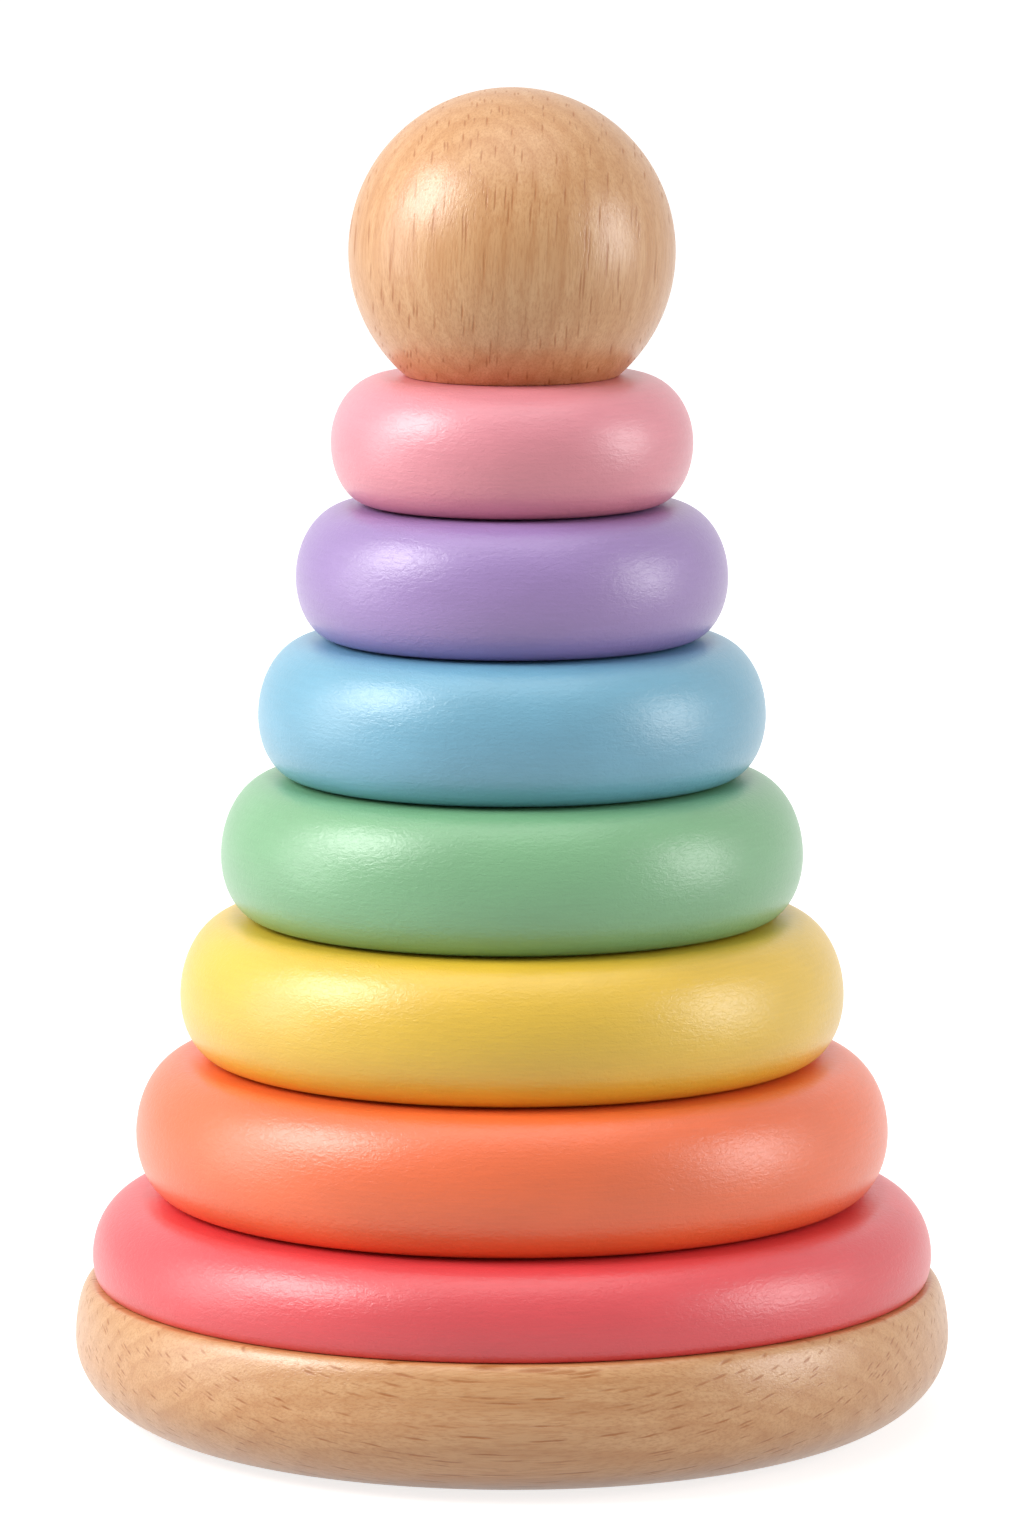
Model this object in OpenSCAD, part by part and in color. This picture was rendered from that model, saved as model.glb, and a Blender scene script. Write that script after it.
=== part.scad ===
// Rainbow stacker: a turned beech base with a peg, seven painted rings and a beech ball on top.
// Millimetres. The base's underside lies on z = 0, and the peg's axis is the z axis.

/* [Base] */
// Diameter of the base at its widest
base_d = 120; // [100:0.5:160]
// Thickness of the base
base_h = 19; // [15:0.1:30]
// Height of the base's widest line
base_belly = 11.1; // [6:0.1:14]
// How far the upper edge rounds in from the widest line
base_shoulder = 2.5; // [1:0.1:6]
// How far the lower edge rounds in from the widest line
base_foot = 14.3; // [5:0.1:25]
// Wood left in the base under the peg
base_floor = 7; // [5:0.1:10]

/* [Peg] */
// Diameter of the peg
peg_d = 15; // [12:0.1:18]
// How far the peg reaches into the ball
peg_reach = 12; // [9:0.1:18]
// Height of the peg's domed tip
peg_dome = 5; // [2:0.1:7]
// Chamfer round the peg's lower end
peg_chamfer = 0.8; // [0.4:0.1:1.5]

/* [Peg screw] */
// Diameter of the screw's shank
screw_d = 4; // [3:0.1:5]
// Diameter of the screw's countersunk head
screw_head_d = 8; // [7:0.1:10]
// Length of the screw
screw_length = 30; // [20:0.5:45]
// Length of the screw's point
screw_point = 5; // [3:0.1:8]
// How far the head is sunk below the base's underside
screw_sink = 0.5; // [0.2:0.1:1.5]

/* [Ring diameters] */
// Diameter of the red ring
red_d = 115.2; // [90:0.1:130]
// Diameter of the orange ring
orange_d = 103.1; // [80:0.1:120]
// Diameter of the yellow ring
yellow_d = 90.8; // [70:0.1:110]
// Diameter of the green ring
green_d = 79.5; // [60:0.1:100]
// Diameter of the blue ring
blue_d = 69.2; // [55:0.1:90]
// Diameter of the purple ring
purple_d = 58.8; // [50:0.1:80]
// Diameter of the pink ring
pink_d = 49.2; // [46:0.1:70]

/* [Ring thicknesses] */
// Thickness of the red ring
red_h = 11.8; // [9:0.1:25]
// Thickness of the orange ring
orange_h = 19.1; // [14:0.1:25]
// Thickness of the yellow ring
yellow_h = 19.3; // [14:0.1:25]
// Thickness of the green ring
green_h = 19.3; // [14:0.1:25]
// Thickness of the blue ring
blue_h = 18.9; // [14:0.1:25]
// Thickness of the purple ring
purple_h = 18.4; // [14:0.1:25]
// Thickness of the pink ring
pink_h = 17.6; // [14:0.1:25]

/* [Ring edges] */
// Height of the widest line above a ring's underside
ring_belly = 8.5; // [5:0.1:11]
// How far a ring's upper edge rounds in from the widest line
ring_shoulder = 7.5; // [3:0.1:9]
// How far a ring's lower edge rounds in from the widest line
ring_foot = 5.3; // [2:0.1:8]
// Height of the widest line above the thinner red ring's underside
red_belly = 3.4; // [2:0.1:7]
// How far the red ring's upper edge rounds in
red_shoulder = 7; // [3:0.1:12]
// How far the red ring's lower edge rounds in
red_foot = 1.1; // [0.5:0.1:6]
// Rounding of the rims of the rings' bores
rim_round = 2; // [0.5:0.1:3]

/* [Ball] */
// Diameter of the ball
ball_d = 44.3; // [38:0.1:60]
// Chamfer at the mouth of the ball's bore
ball_chamfer = 1; // [0.4:0.1:2]

/* [Fits] */
// Flat outside the rim of a bore for the next piece to stand on
seat_land = 2.45; // [1.5:0.05:5]
// Room between the peg and the bores of the rings and the ball, on each side
bore_play = 2.5; // [1:0.1:3]
// Room between the peg's tip and the end of the ball's bore
tip_play = 4; // [1:0.1:6]
// Glue line round the peg in its socket
glue_gap = 0.1; // [0.05:0.01:0.3]
// Room round the screw in the base and in the peg's pilot hole
screw_gap = 0.05; // [0.02:0.01:0.2]
// Room past the screw's point in the pilot hole
point_gap = 1; // [0.5:0.1:3]

/* [Hidden] */
$fn = 96;

// The stack, from the base up: each piece stands on the one before it.
red_z = base_h;
orange_z = red_z + red_h;
yellow_z = orange_z + orange_h;
green_z = yellow_z + yellow_h;
blue_z = green_z + green_h;
purple_z = blue_z + blue_h;
pink_z = purple_z + purple_h;
ball_z = pink_z + pink_h;

peg_r = peg_d / 2;
peg_straight = ball_z + peg_reach - peg_dome - base_floor;
bore_r = peg_r + bore_play;
rim_r = bore_r + rim_round;

screw_r = screw_d / 2;
head_r = screw_head_d / 2;
head_h = head_r - screw_r;
point_z = screw_sink + screw_length;

// The ball's flat reaches past the rim of the bore under it, which sets how high its middle lies.
ball_r = ball_d / 2;
ball_flat_r = rim_r + seat_land;
ball_rise = sqrt(ball_r * ball_r - ball_flat_r * ball_flat_r);
ball_bore_h = peg_reach + tip_play;

// A quarter of an ellipse, in the corner between the two positive axes.
module quarter(width, height) {
  intersection() {
    scale([width, height]) circle(1);
    square([width, height]);
  }
}

// Half the outline of a turned disc: two quarter ellipses that meet on the widest line.
module disc_outline(r, h, belly, shoulder, foot) {
  translate([0, belly]) square([r - shoulder, h - belly]);
  translate([r - shoulder, belly]) quarter(shoulder, h - belly);
  square([r - foot, belly]);
  translate([r - foot, belly]) mirror([0, 1]) quarter(foot, belly);
}

// Half the outline of a ring's bore, flared by a round at both rims.
module bore_outline(h) {
  square([bore_r, h]);
  difference() {
    square([rim_r, h]);
    translate([rim_r, rim_round]) circle(rim_round);
    translate([rim_r, h - rim_round]) circle(rim_round);
    translate([bore_r, rim_round]) square([rim_round, h - 2 * rim_round]);
  }
}

// A turned ring whose underside lies at height z. Its shoulder leaves a flat for the piece above.
module ring(d, h, z, belly = ring_belly, shoulder = ring_shoulder, foot = ring_foot) {
  wall = d / 2 - rim_r;
  translate([0, 0, z]) rotate_extrude() difference() {
    disc_outline(d / 2, h, belly, min(shoulder, wall - seat_land), min(foot, wall - seat_land));
    bore_outline(h);
  }
}

module base() {
  color("#dcb083") difference() {
    rotate_extrude() disc_outline(base_d / 2, base_h, base_belly, base_shoulder, base_foot);
    translate([0, 0, base_floor]) cylinder(h = base_h, r = peg_r + glue_gap);
    cylinder(h = screw_sink, r = head_r + screw_gap);
    translate([0, 0, screw_sink]) cylinder(h = head_h, r1 = head_r + screw_gap, r2 = screw_r + screw_gap);
    cylinder(h = base_h, r = screw_r + screw_gap);
  }
}

module peg() {
  color("#dcb083") difference() {
    translate([0, 0, base_floor]) rotate_extrude() {
      polygon([[0, 0], [peg_r - peg_chamfer, 0], [peg_r, peg_chamfer], [peg_r, peg_straight], [0, peg_straight]]);
      translate([0, peg_straight]) quarter(peg_r, peg_dome);
    }
    cylinder(h = point_z + point_gap, r = screw_r + screw_gap);
  }
}

module peg_screw() {
  color("#b9bcc0") translate([0, 0, screw_sink]) rotate_extrude()
    polygon([[0, 0], [head_r, 0], [screw_r, head_h], [screw_r, screw_length - screw_point], [0, screw_length]]);
}

module ring_red() {
  color("#ea686b") ring(red_d, red_h, red_z, red_belly, red_shoulder, red_foot);
}

module ring_orange() {
  color("#ee825c") ring(orange_d, orange_h, orange_z);
}

module ring_yellow() {
  color("#eec862") ring(yellow_d, yellow_h, yellow_z);
}

module ring_green() {
  color("#98c89c") ring(green_d, green_h, green_z);
}

module ring_blue() {
  color("#8ec1d6") ring(blue_d, blue_h, blue_z);
}

module ring_purple() {
  color("#b098cc") ring(purple_d, purple_h, purple_z);
}

module ring_pink() {
  color("#eca4ae") ring(pink_d, pink_h, pink_z);
}

module ball() {
  color("#dcb083") translate([0, 0, ball_z]) rotate_extrude() difference() {
    intersection() {
      translate([0, ball_rise]) circle(ball_r);
      square([ball_r, ball_d]);
    }
    polygon([[0, 0], [bore_r + ball_chamfer, 0], [bore_r, ball_chamfer], [bore_r, ball_bore_h], [0, ball_bore_h]]);
  }
}

base();
peg();
peg_screw();
ring_red();
ring_orange();
ring_yellow();
ring_green();
ring_blue();
ring_purple();
ring_pink();
ball();
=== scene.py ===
import math

import bmesh
import bpy
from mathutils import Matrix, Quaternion, Vector


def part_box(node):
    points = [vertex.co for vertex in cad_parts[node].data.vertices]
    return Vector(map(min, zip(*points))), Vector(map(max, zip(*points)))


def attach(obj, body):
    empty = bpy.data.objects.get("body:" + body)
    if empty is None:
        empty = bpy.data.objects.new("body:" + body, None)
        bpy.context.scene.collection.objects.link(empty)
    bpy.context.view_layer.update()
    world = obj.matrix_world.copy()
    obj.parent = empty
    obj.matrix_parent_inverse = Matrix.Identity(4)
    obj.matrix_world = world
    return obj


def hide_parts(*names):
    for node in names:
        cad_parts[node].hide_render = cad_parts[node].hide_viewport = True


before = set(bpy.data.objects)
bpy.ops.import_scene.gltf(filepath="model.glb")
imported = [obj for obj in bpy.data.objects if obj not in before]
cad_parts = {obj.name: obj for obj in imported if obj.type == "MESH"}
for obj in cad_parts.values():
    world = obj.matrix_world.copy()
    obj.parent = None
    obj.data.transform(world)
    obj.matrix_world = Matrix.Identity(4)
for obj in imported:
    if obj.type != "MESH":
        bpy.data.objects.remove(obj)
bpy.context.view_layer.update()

# The base is one thick disc of solid beech, turned with a soft shoulder and a deeply rounded foot.
# It is sanded fine, sealed with a clear satin lacquer, and drilled from above for the peg and from
# below for the peg's countersunk screw.
MM = 0.001
TURN_STEPS = 192
SHARP_CORNER = math.radians(30)
MERGE_DISTANCE = 0.001 * MM

base_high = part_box("base")[1]
peg_low, peg_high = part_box("peg")
screw_low, screw_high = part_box("peg_screw")
BASE_BELLY = 11.1 * MM
BASE_SHOULDER = 2.5 * MM
BASE_FOOT = 14.3 * MM
SOCKET_ROOM = 0.1 * MM
SOCKET_EDGE = 0.4 * MM
SCREW_SHANK = 2 * MM
SCREW_ROOM = 0.05 * MM


def arc(r, z, width, height, start, end, steps=24):
    """Points of an ellipse about (r, z), from one angle in degrees to another, as (radius, height)."""
    angles = [math.radians(start + (end - start) * step / steps) for step in range(steps + 1)]
    return [(r + width * math.cos(angle), z + height * math.sin(angle)) for angle in angles]


def finished(name, bm):
    """The object of a finished bmesh: doubles merged, faces turned outwards, smooth but at its corners."""
    bmesh.ops.remove_doubles(bm, verts=bm.verts, dist=MERGE_DISTANCE)
    bmesh.ops.recalc_face_normals(bm, faces=bm.faces)
    for face in bm.faces:
        face.smooth = True
    mesh = bpy.data.meshes.new(name)
    bm.to_mesh(mesh)
    bm.free()
    mesh.set_sharp_from_angle(angle=SHARP_CORNER)
    piece = bpy.data.objects.new(name, mesh)
    bpy.context.scene.collection.objects.link(piece)
    return piece


def turned(name, outline, closed):
    """A piece turned on the peg's axis from half its outline, a row of (radius, height) points."""
    bm = bmesh.new()
    points = [bm.verts.new((r, 0, z)) for r, z in outline]
    ends = points[1:] + points[:1] if closed else points[1:]
    edges = [bm.edges.new(pair) for pair in zip(points, ends)]
    bmesh.ops.spin(bm, geom=points + edges, cent=(0, 0, 0), axis=(0, 0, 1), angle=math.tau,
                   steps=TURN_STEPS, use_merge=True)
    return finished(name, bm)


class Value:
    """An output of a material's node that takes part in sums: each operation adds a Math node."""

    def __init__(self, finish, socket):
        self.finish = finish
        self.socket = socket

    def math(self, operation, first, second=0.0):
        return self.finish.node("ShaderNodeMath", "Value", {"operation": operation}, {0: first, 1: second})

    def __add__(self, other):
        return self.math("ADD", self, other)

    def __radd__(self, other):
        return self.math("ADD", other, self)

    def __sub__(self, other):
        return self.math("SUBTRACT", self, other)

    def __rsub__(self, other):
        return self.math("SUBTRACT", other, self)

    def __mul__(self, other):
        return self.math("MULTIPLY", self, other)

    def __rmul__(self, other):
        return self.math("MULTIPLY", other, self)

    def __truediv__(self, other):
        return self.math("DIVIDE", self, other)

    def __pow__(self, other):
        return self.math("POWER", self, other)


class Finish:
    """A material, or the sky, in the making, with the few kinds of node that the finishes here share."""

    def __init__(self, owner, shader="Principled BSDF"):
        owner.use_nodes = True
        self.owner = owner
        self.tree = owner.node_tree
        self.shader = self.tree.nodes[shader]

    def feed(self, socket, value):
        if isinstance(value, Value):
            self.tree.links.new(value.socket, socket)
        else:
            socket.default_value = value

    def node(self, kind, output, settings=None, sockets=None):
        made = self.tree.nodes.new(kind)
        for key, value in (settings or {}).items():
            setattr(made, key, value)
        for key, value in (sockets or {}).items():
            self.feed(made.inputs[key], value)
        return Value(self, made.outputs[output])

    def place(self, turn=(0, 0, 0), shift=(0, 0, 0)):
        """Where a point of the piece lies, in millimetres, turned and then shifted."""
        point = self.node("ShaderNodeTexCoord", "Object")
        return self.node("ShaderNodeMapping", "Vector", {"vector_type": "POINT"},
                         {"Vector": point, "Rotation": turn, "Location": shift, "Scale": (1 / MM,) * 3})

    def stretched(self, place, size):
        return self.node("ShaderNodeVectorMath", 0, {"operation": "DIVIDE"}, {0: place, 1: size})

    def clouds(self, place, size, detail=2.0, roughness=0.5, distortion=0.0):
        """Noise from 0 to 1 whose features have the given size along x, y and z, in millimetres."""
        return self.node("ShaderNodeTexNoise", 0, None,
                         {"Vector": self.stretched(place, size), "Scale": 1.0, "Detail": detail,
                          "Roughness": roughness, "Distortion": distortion})

    def ramp(self, value, low, high):
        """0 where value is below low, 1 above high, with a smooth way between."""
        return self.node("ShaderNodeMapRange", 0, {"interpolation_type": "SMOOTHSTEP"},
                         {"Value": value, "From Min": low, "From Max": high})

    def blend(self, share, first, second):
        """A colour between two others."""
        return self.node("ShaderNodeMix", 2, {"data_type": "RGBA"}, {0: share, 6: first, 7: second})

    def relief(self, height, depth):
        """The normal of a surface whose height differs by depth metres between 0 and 1."""
        return self.node("ShaderNodeBump", 0, None, {"Height": height, "Strength": 1.0, "Distance": depth})

    def set(self, socket, value):
        self.feed(self.shader.inputs[socket], value)


BEECH_PALE = (0.7, 0.392, 0.176, 1)
BEECH_WARM = (0.593, 0.287, 0.104, 1)
BEECH_LATE = (0.46, 0.165, 0.03, 1)
BEECH_FLECK = (0.36, 0.104, 0.001, 1)
LATE_SHARE = 0.28
FIBRE_SHARE = 0.44
PORE_SHARE = 0.18

# The grain's sizes are in millimetres: two across the fibres, and one along them.
YEAR_RING = 3.4
YEAR_SWAY = (16, 16, 55)
YEAR_DRIFT = (9, 9, 40)
FIBRE = (0.28, 0.28, 4.5)
STREAK = (1.6, 1.6, 30)
RAY = (0.5, 2.4, 10.0)
RAY_WANDER = (2, 2, 3)
RAY_CROWD = (9, 9, 16)
PORE = (0.3, 0.3, 1.7)
LACQUER_PEEL = (0.42, 0.42, 0.8)
LACQUER_DEPTH = 0.046 * MM


def beech(name, turn, shift, flecks):
    """Lacquered beech with stronger or weaker flecks. After turn and shift, fibres and heart run along z."""
    wood = Finish(bpy.data.materials.new(name))
    place = wood.place(turn, shift)
    across, outward = (wood.node("ShaderNodeSeparateXYZ", axis, None, {0: place}) for axis in "XY")

    # Year rings: pale early wood that darkens slowly and ends at a fine line.
    sway = wood.clouds(place, YEAR_SWAY) - 0.5
    heart_distance = across.math("SQRT", (across + sway * 5) ** 2 + (outward + sway * 7) ** 2)
    year = heart_distance / YEAR_RING + wood.clouds(place, YEAR_DRIFT) * 1.2
    season = year.math("FRACT", year)
    late = wood.ramp(season, 0.3, 0.9) * (1 - wood.ramp(season, 0.9, 1.0))

    # Fibres: long fine streaks with broader, fainter ones between them.
    fibre = wood.clouds(place, FIBRE, detail=3, roughness=0.65)
    streak = wood.clouds(place, STREAK)

    # Rays: short dark flecks, thin across the fibre, in some cells of a stretched cell pattern.
    wander = wood.node("ShaderNodeTexNoise", 1, None,
                       {"Vector": wood.stretched(place, RAY_WANDER), "Scale": 1.0})
    bent = wood.node("ShaderNodeVectorMath", 0, {"operation": "MULTIPLY_ADD"},
                     {0: wander, 1: (0.5, 0.5, 0.5), 2: wood.stretched(place, RAY)})
    cells = {"Vector": bent, "Scale": 1.0, "Randomness": 1.0}
    ray_distance = wood.node("ShaderNodeTexVoronoi", "Distance", None, cells)
    ray_chance = wood.node("ShaderNodeSeparateColor", 0, None,
                           {0: wood.node("ShaderNodeTexVoronoi", "Color", None, cells)})
    crowd = wood.clouds(place, RAY_CROWD, detail=1)
    ray_shows = wood.ramp(ray_chance + crowd * 0.5 + late * 0.15, 0.7, 0.94)
    ray = (1 - wood.ramp(ray_distance, 0.1, 0.42)) * ray_shows

    # Pores: very fine short lines all over.
    pore_distance = wood.node("ShaderNodeTexVoronoi", "Distance", None,
                              {"Vector": wood.stretched(place, PORE), "Scale": 1.0})
    pore = 1 - wood.ramp(pore_distance, 0.05, 0.38)

    colour = wood.blend(wood.ramp(streak, 0.1, 0.9), BEECH_PALE, BEECH_WARM)
    colour = wood.blend(late * LATE_SHARE, colour, BEECH_LATE)
    colour = wood.blend(wood.ramp(fibre, 0.42, 0.64) * FIBRE_SHARE, colour, BEECH_LATE)
    colour = wood.blend(pore * PORE_SHARE, colour, BEECH_FLECK)
    colour = wood.blend(ray * flecks, colour, BEECH_FLECK)
    wood.set("Base Color", colour)
    wood.set("Roughness", 0.28 + fibre * 0.1 + ray * 0.12)
    wood.set("Specular IOR Level", 0.75)
    wood.set("Coat Weight", 0.3)
    wood.set("Coat Roughness", 0.42)
    peel = wood.clouds(place, LACQUER_PEEL)
    wood.set("Normal", wood.relief(peel * 0.7 + fibre * 0.6 - ray * 0.6 - pore * 0.3, LACQUER_DEPTH))
    return wood.owner


def put(piece, body, node, material):
    """Gives a new piece its finish, sets it on its body and lets it stand for its solid."""
    piece.data.materials.append(material)
    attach(piece, body)
    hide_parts(node)


base_r = base_high.x
base_top = base_high.z
socket_r = peg_high.x + SOCKET_ROOM
socket_floor = peg_low.z
head_r = screw_high.x + SCREW_ROOM
hole_r = SCREW_SHANK + SCREW_ROOM
sink_top = screw_low.z + head_r - hole_r
base = turned("base_disc", [
    (hole_r, socket_floor), (hole_r, sink_top), (head_r, screw_low.z), (head_r, 0.0),
    *arc(base_r - BASE_FOOT, BASE_BELLY, BASE_FOOT, BASE_BELLY, -90, 0, steps=40),
    *arc(base_r - BASE_SHOULDER, BASE_BELLY, BASE_SHOULDER, base_top - BASE_BELLY, 0, 90, steps=40)[1:],
    *arc(socket_r + SOCKET_EDGE, base_top - SOCKET_EDGE, SOCKET_EDGE, SOCKET_EDGE, 90, 180, steps=4),
    (socket_r, socket_floor)], closed=True)
BOARD_TILT = math.radians(28)
base_beech = beech("base_beech", turn=(-BOARD_TILT, -math.pi / 2, 0), shift=(6, 74, 0), flecks=0.9)
put(base, "base", "base", base_beech)

# The peg is a straight beech dowel with a domed tip, glued into the base's socket. It was cut from
# a long rod, so its fibres run its whole length.
PEG_DOME = 5 * MM
PEG_CHAMFER = 0.8 * MM
PILOT_ROOM = 1 * MM
peg_r = peg_high.x
pilot_top = screw_high.z + PILOT_ROOM
peg = turned("peg_dowel", [
    (0, pilot_top), (hole_r, pilot_top), (hole_r, peg_low.z), (peg_r - PEG_CHAMFER, peg_low.z),
    (peg_r, peg_low.z + PEG_CHAMFER),
    *arc(0, peg_high.z - PEG_DOME, peg_r, PEG_DOME, 0, 90)], closed=False)
put(peg, "base", "peg", beech("peg_beech", turn=(0.03, 0, 0.4), shift=(9, 21, 0), flecks=0.9))

# The screw is a zinc-plated countersunk wood screw with a cross recess. It is driven from below
# through the base into the peg, with its head sunk just under the base's underside.
SCREW_POINT = 5 * MM
SCREW_CORE = 1.4 * MM
THREAD_PITCH = 1.8 * MM
THREAD_WIDTH = 0.9 * MM
THREAD_ROOT = 0.97 * SCREW_CORE
THREAD_STEPS = 24
RECESS_REACH = 2.3 * MM
RECESS_WIDTH = 0.55 * MM
RECESS_DEPTH = 1.4 * MM
RECESS_TAPER = 0.45
ZINC_BRIGHT = (0.58, 0.6, 0.63, 1)
ZINC_DULL = (0.46, 0.48, 0.5, 1)
SPANGLE = (0.6, 0.6, 0.6)

screw = bmesh.new()
neck_z = screw_low.z + screw_high.x - SCREW_CORE
point_z = screw_high.z - SCREW_POINT
body = [screw.verts.new((r, 0, z)) for r, z in [
    (screw_high.x, screw_low.z), (SCREW_CORE, neck_z), (SCREW_CORE, point_z), (0, screw_high.z)]]
body_edges = [screw.edges.new(pair) for pair in zip(body, body[1:])]
bmesh.ops.spin(screw, geom=body + body_edges, cent=(0, 0, 0), axis=(0, 0, 1), angle=math.tau,
               steps=THREAD_STEPS * 2, use_merge=True)
bmesh.ops.remove_doubles(screw, verts=screw.verts, dist=MERGE_DISTANCE)
rim = [edge for edge in screw.edges if edge.is_boundary]
cross = []
for arm in range(4):
    for x, y in [(RECESS_REACH, -RECESS_WIDTH), (RECESS_REACH, RECESS_WIDTH), (RECESS_WIDTH, RECESS_WIDTH)]:
        spot = Vector((x, y, screw_low.z))
        spot.rotate(Quaternion((0, 0, 1), arm * math.pi / 2))
        cross.append(screw.verts.new(spot))
recess = screw.faces.new(cross)
bmesh.ops.triangle_fill(screw, edges=rim + list(recess.edges), use_beauty=True)
sunk = bmesh.ops.extrude_face_region(screw, geom=[recess])["geom"]
sunk_corners = [part for part in sunk if isinstance(part, bmesh.types.BMVert)]
bmesh.ops.scale(screw, verts=sunk_corners, vec=(RECESS_TAPER, RECESS_TAPER, 1))
bmesh.ops.translate(screw, verts=sunk_corners, vec=(0, 0, RECESS_DEPTH))
thread_low = neck_z + THREAD_WIDTH
turns = int((point_z - thread_low) / THREAD_PITCH)
thread = [screw.verts.new((r, 0, thread_low + z)) for r, z in [
    (THREAD_ROOT, -THREAD_WIDTH / 2), (SCREW_SHANK, 0), (THREAD_ROOT, THREAD_WIDTH / 2)]]
thread_edges = [screw.edges.new((thread[i], thread[i - 1])) for i in range(3)]
bmesh.ops.spin(screw, geom=thread + thread_edges, cent=(0, 0, 0), axis=(0, 0, 1), angle=math.tau * turns,
               dvec=(0, 0, THREAD_PITCH / THREAD_STEPS), steps=THREAD_STEPS * turns)
bmesh.ops.holes_fill(screw, edges=[edge for edge in screw.edges if edge.is_boundary], sides=3)
peg_screw = finished("peg_woodscrew", screw)

zinc = Finish(bpy.data.materials.new("zinc_plate"))
zinc.set("Metallic", 1.0)
spangle = zinc.clouds(zinc.place(), SPANGLE, detail=3)
zinc.set("Base Color", zinc.blend(zinc.ramp(spangle, 0.3, 0.7), ZINC_BRIGHT, ZINC_DULL))
zinc.set("Roughness", 0.28 + spangle * 0.2)
put(peg_screw, "base", "peg_screw", zinc.owner)

# The rings are turned from wood, each with a fuller shoulder than foot, and sprayed all over with a
# satin paint that lets a trace of the turning lines through. They slide loosely over the peg.
BORE_ROUND = 2 * MM
BORE_R = 10 * MM
RING_BELLY = 8.5 * MM
RING_SHOULDER = 7.5 * MM
RING_FOOT = 5.3 * MM
RED_BELLY = 3.4 * MM
RED_SHOULDER = 7 * MM
RED_FOOT = 1.1 * MM
SEAT_EASE = 0.25 * MM
SEAT_SLOPE = 2.5 * MM
RING_EDGE = (RING_BELLY, RING_SHOULDER, RING_FOOT, SEAT_EASE)
RED_EDGE = (RED_BELLY, RED_SHOULDER, RED_FOOT, SEAT_EASE / 3)
PAINT_LIGHT = 1.06
PAINT_DEEP = 0.93
PAINT_DEPTH = 0.12 * MM

# The paint's patterns have sizes in millimetres along x, y and z.
PAINT_MOTTLE = (22, 22, 12)
PAINT_LINES = (5.0, 5.0, 0.3)
PAINT_SKIN = (1.0, 1.0, 0.5)
PAINT_GRIT = (0.35, 0.35, 0.2)


def shade(red, green, blue):
    """A colour given as a screen shows it, from 0 to 255 a channel, as the share of light it reflects."""
    channels = [channel / 255 for channel in (red, green, blue)]
    return (*[((channel + 0.055) / 1.055) ** 2.4 for channel in channels], 1)


def satin_paint(name, colour):
    """Sprayed satin paint: a faint mottle, an eggshell skin, and fine lines from the turning under it."""
    paint = Finish(bpy.data.materials.new(name))
    place = paint.place()
    mottle = paint.clouds(place, PAINT_MOTTLE, detail=3)
    lines = paint.clouds(place, PAINT_LINES)
    skin = paint.clouds(place, PAINT_SKIN, detail=3, roughness=0.6, distortion=0.8)
    grit = paint.clouds(place, PAINT_GRIT)
    light = (*[min(1.0, channel * PAINT_LIGHT) for channel in colour[:3]], 1)
    deep = (*[channel * PAINT_DEEP for channel in colour[:3]], 1)
    tone = paint.ramp(mottle * 0.7 + lines * 0.3, 0.3, 0.7)
    paint.set("Base Color", paint.blend(tone, deep, light))
    paint.set("Roughness", 0.28 + skin * 0.1)
    paint.set("Specular IOR Level", 0.7)
    paint.set("Coat Weight", 0.45)
    paint.set("Coat Roughness", 0.5)
    paint.set("Normal", paint.relief(skin * 0.7 + lines * 0.15 + grit * 0.15, PAINT_DEPTH))
    return paint.owner


def ring_outline(low, high, belly, shoulder, foot, ease):
    """Half a ring's outline, round from its underside. Its seat stops short of the rim, which is eased."""
    r, bottom, top = high.x, low.z, high.z
    flare_r = BORE_R + BORE_ROUND
    return [
        (r - foot - SEAT_SLOPE, bottom),
        *arc(r - foot, bottom + belly, foot, belly - ease, -90, 0),
        *arc(r - shoulder, bottom + belly, shoulder, top - bottom - belly, 0, 90, steps=32)[1:],
        *arc(flare_r, top - BORE_ROUND, BORE_ROUND, BORE_ROUND, 90, 180, steps=8),
        *arc(flare_r, bottom + BORE_ROUND, BORE_ROUND, BORE_ROUND, 180, 270, steps=8)]


ring_paints = {
    "red": shade(222, 65, 72),
    "orange": shade(238, 105, 49),
    "yellow": shade(230, 187, 49),
    "green": shade(119, 174, 125),
    "blue": shade(110, 170, 196),
    "purple": shade(154, 125, 183),
    "pink": shade(228, 140, 152),
}
for name, colour in ring_paints.items():
    node = f"ring_{name}"
    edge = RED_EDGE if name == "red" else RING_EDGE
    ring = turned(f"{name}_ring", ring_outline(*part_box(node), *edge), closed=True)
    put(ring, node, node, satin_paint(f"{name}_satin", colour))

# The ball is beech too, turned with a flat to stand on and drilled to sit over the peg's tip. Its
# fibres stand upright, so their ends and the year rings show round its crown.
BALL_R = 22.15 * MM
BALL_EDGE = 0.8 * MM
BALL_CHAMFER = 1 * MM
BALL_DEPTH = 16 * MM
ball_low, ball_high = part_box("ball")
ball_z = ball_high.z - BALL_R
edge_drop = ball_z - ball_low.z - BALL_EDGE
edge_r = math.sqrt((BALL_R - BALL_EDGE) ** 2 - edge_drop ** 2)
edge_angle = math.degrees(math.atan2(-edge_drop, edge_r))
ball = turned("top_ball", [
    (0, ball_low.z + BALL_DEPTH), (BORE_R, ball_low.z + BALL_DEPTH),
    (BORE_R, ball_low.z + BALL_CHAMFER), (BORE_R + BALL_CHAMFER, ball_low.z),
    *arc(edge_r, ball_low.z + BALL_EDGE, BALL_EDGE, BALL_EDGE, -90, edge_angle, steps=8),
    *arc(0, ball_z, BALL_R, BALL_R, edge_angle, 90, steps=72)[1:]], closed=False)
put(ball, "ball", "ball", beech("ball_beech", turn=(0.06, -0.05, 0), shift=(16, 32, 0), flecks=0.75))

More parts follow.
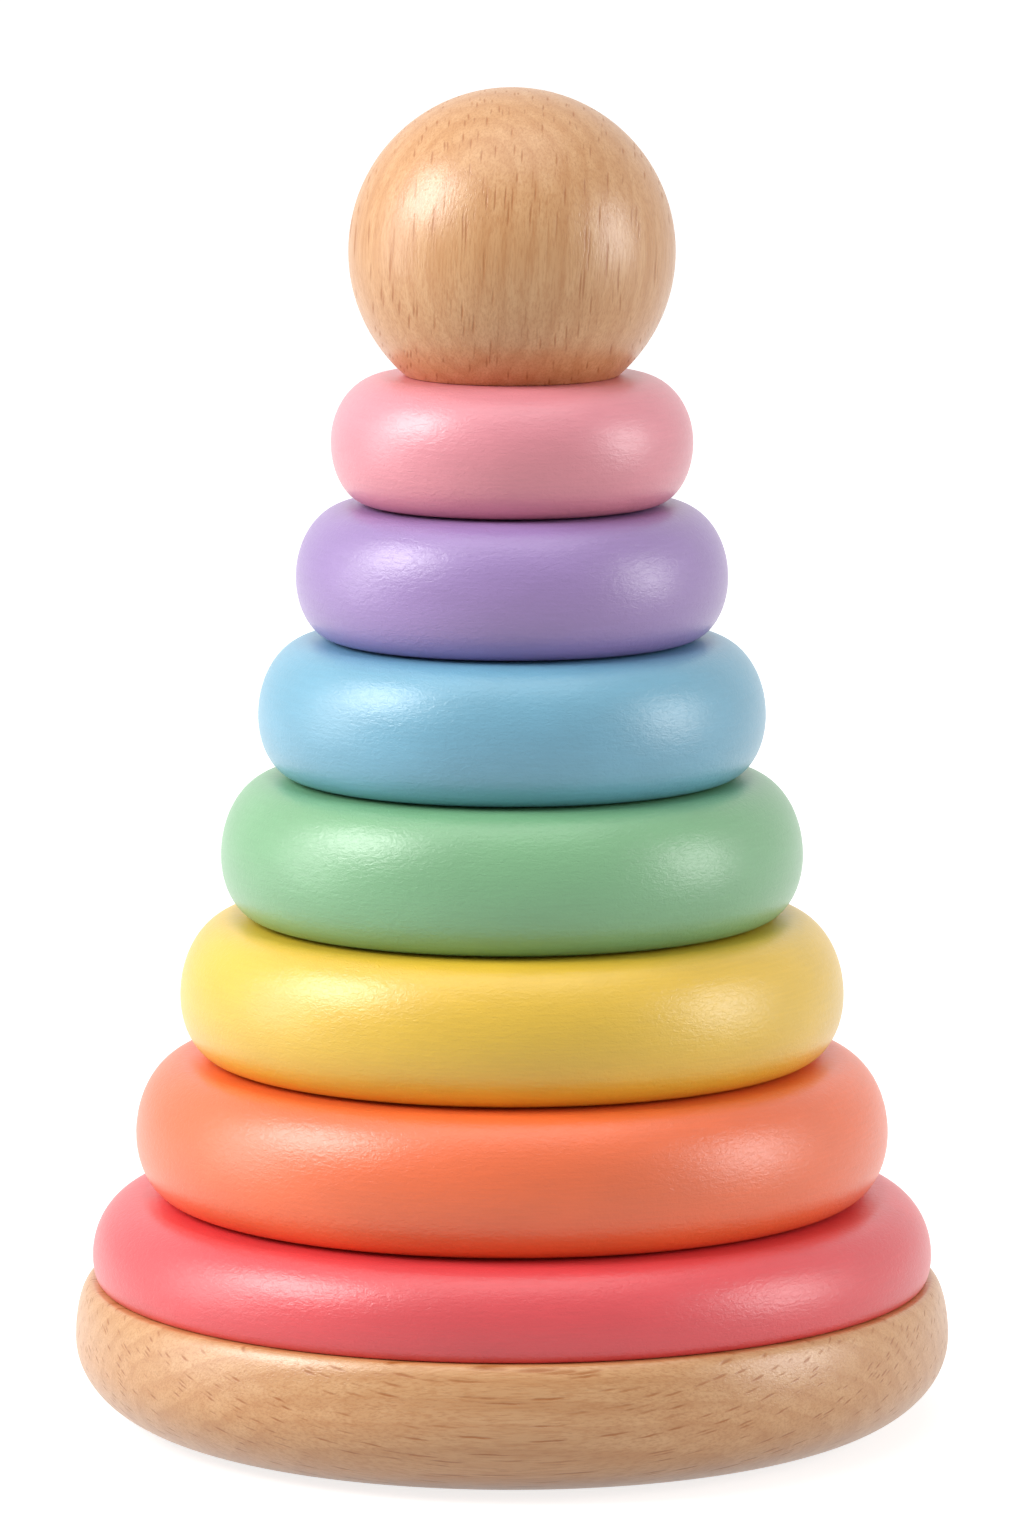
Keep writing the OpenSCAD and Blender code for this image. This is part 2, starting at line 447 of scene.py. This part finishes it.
# The stage: a wide white floor under an even sky, with four soft oblong lamps: a strong one high on the
# left, a weak one low on the left, a smaller one on the right and a broad one above. The camera and
# reflections see floor and sky as white.
# The floor's size is in metres, and the distances over which it pales are in millimetres.
FLOOR_SIZE = 60
FLOOR_DROP = 0.1 * MM
FLOOR_WHITE = 0.5
FLOOR_LIFT_NEAR = 0.78
FLOOR_LIFT_FAR = 0.95
FLOOR_NEAR = 200
FLOOR_FAR = 900
SKY_LIGHT = 0.35


def white_where_seen(finish, light, white):
    """One colour for the light that falls on the stack, and another for what is seen straight or mirrored."""
    seen, mirrored, through = (finish.node("ShaderNodeLightPath", f"Is {kind} Ray")
                               for kind in ("Camera", "Glossy", "Transmission"))
    share = seen.math("MAXIMUM", seen.math("MAXIMUM", seen, mirrored), through)
    return finish.blend(share, light, white)


floor_mesh = bmesh.new()
bmesh.ops.create_grid(floor_mesh, x_segments=1, y_segments=1, size=FLOOR_SIZE / 2)
bmesh.ops.translate(floor_mesh, verts=floor_mesh.verts, vec=(0, 0, -FLOOR_DROP))
floor = finished("floor", floor_mesh)
paper = Finish(bpy.data.materials.new("white_paper"))
paper.set("Base Color", (FLOOR_WHITE, FLOOR_WHITE, FLOOR_WHITE, 1))
paper.set("Roughness", 0.9)
paper.set("Specular IOR Level", 0.0)
far = paper.node("ShaderNodeVectorMath", "Value", {"operation": "LENGTH"}, {0: paper.place()})
lift = paper.blend(paper.ramp(far, FLOOR_NEAR, FLOOR_FAR),
                   (*[FLOOR_LIFT_NEAR] * 3, 1), (*[FLOOR_LIFT_FAR] * 3, 1))
paper.set("Emission Color", white_where_seen(paper, (0, 0, 0, 1), lift))
paper.set("Emission Strength", 1.0)
floor.data.materials.append(paper.owner)

sky = Finish(bpy.data.worlds.new("white_sky"), "Background")
sky.set("Color", white_where_seen(sky, (*[SKY_LIGHT] * 3, 1), (1, 1, 1, 1)))
bpy.context.scene.world = sky.owner

LAMP_DISTANCE = 0.9
AIM = Vector((0, 0, 0.09))


def softbox(name, direction, width, height, power):
    """An oblong lamp that shines on the stack from a direction."""
    lamp = bpy.data.lights.new(name, "AREA")
    lamp.shape = "RECTANGLE"
    lamp.size = width
    lamp.size_y = height
    lamp.energy = power
    box = bpy.data.objects.new(name, lamp)
    bpy.context.scene.collection.objects.link(box)
    box.location = AIM + Vector(direction).normalized() * LAMP_DISTANCE
    box.rotation_mode = "QUATERNION"
    box.rotation_quaternion = (AIM - box.location).to_track_quat("-Z", "Y")


softbox("key_left", (-0.755, -0.24, 0.62), 0.47, 0.43, 6.2)
softbox("side_left", (-0.97, -0.05, 0.2), 0.44, 0.6, 2.5)
softbox("fill_right", (0.95, -0.2, 0.25), 0.38, 0.5, 3.4)
softbox("top", (0, -0.15, 1), 0.8, 0.7, 2.5)

# The camera stands a little above the stack and looks slightly down, with a long lens.
CAMERA_BACK = 1.17835
CAMERA_UP = 0.26789
CAMERA_PITCH = math.radians(8.607)
FOCAL_PIXELS = 8736.6
IMAGE_HEIGHT = 1536
SENSOR_WIDTH = 36
lens = bpy.data.cameras.new("camera")
lens.sensor_width = SENSOR_WIDTH
lens.lens = FOCAL_PIXELS / IMAGE_HEIGHT * SENSOR_WIDTH
camera = bpy.data.objects.new("camera", lens)
bpy.context.scene.collection.objects.link(camera)
camera.location = (0, -CAMERA_BACK, CAMERA_UP)
camera.rotation_euler = (math.pi / 2 - CAMERA_PITCH, 0, 0)
bpy.context.scene.camera = camera
bpy.context.scene.view_settings.view_transform = "Standard"
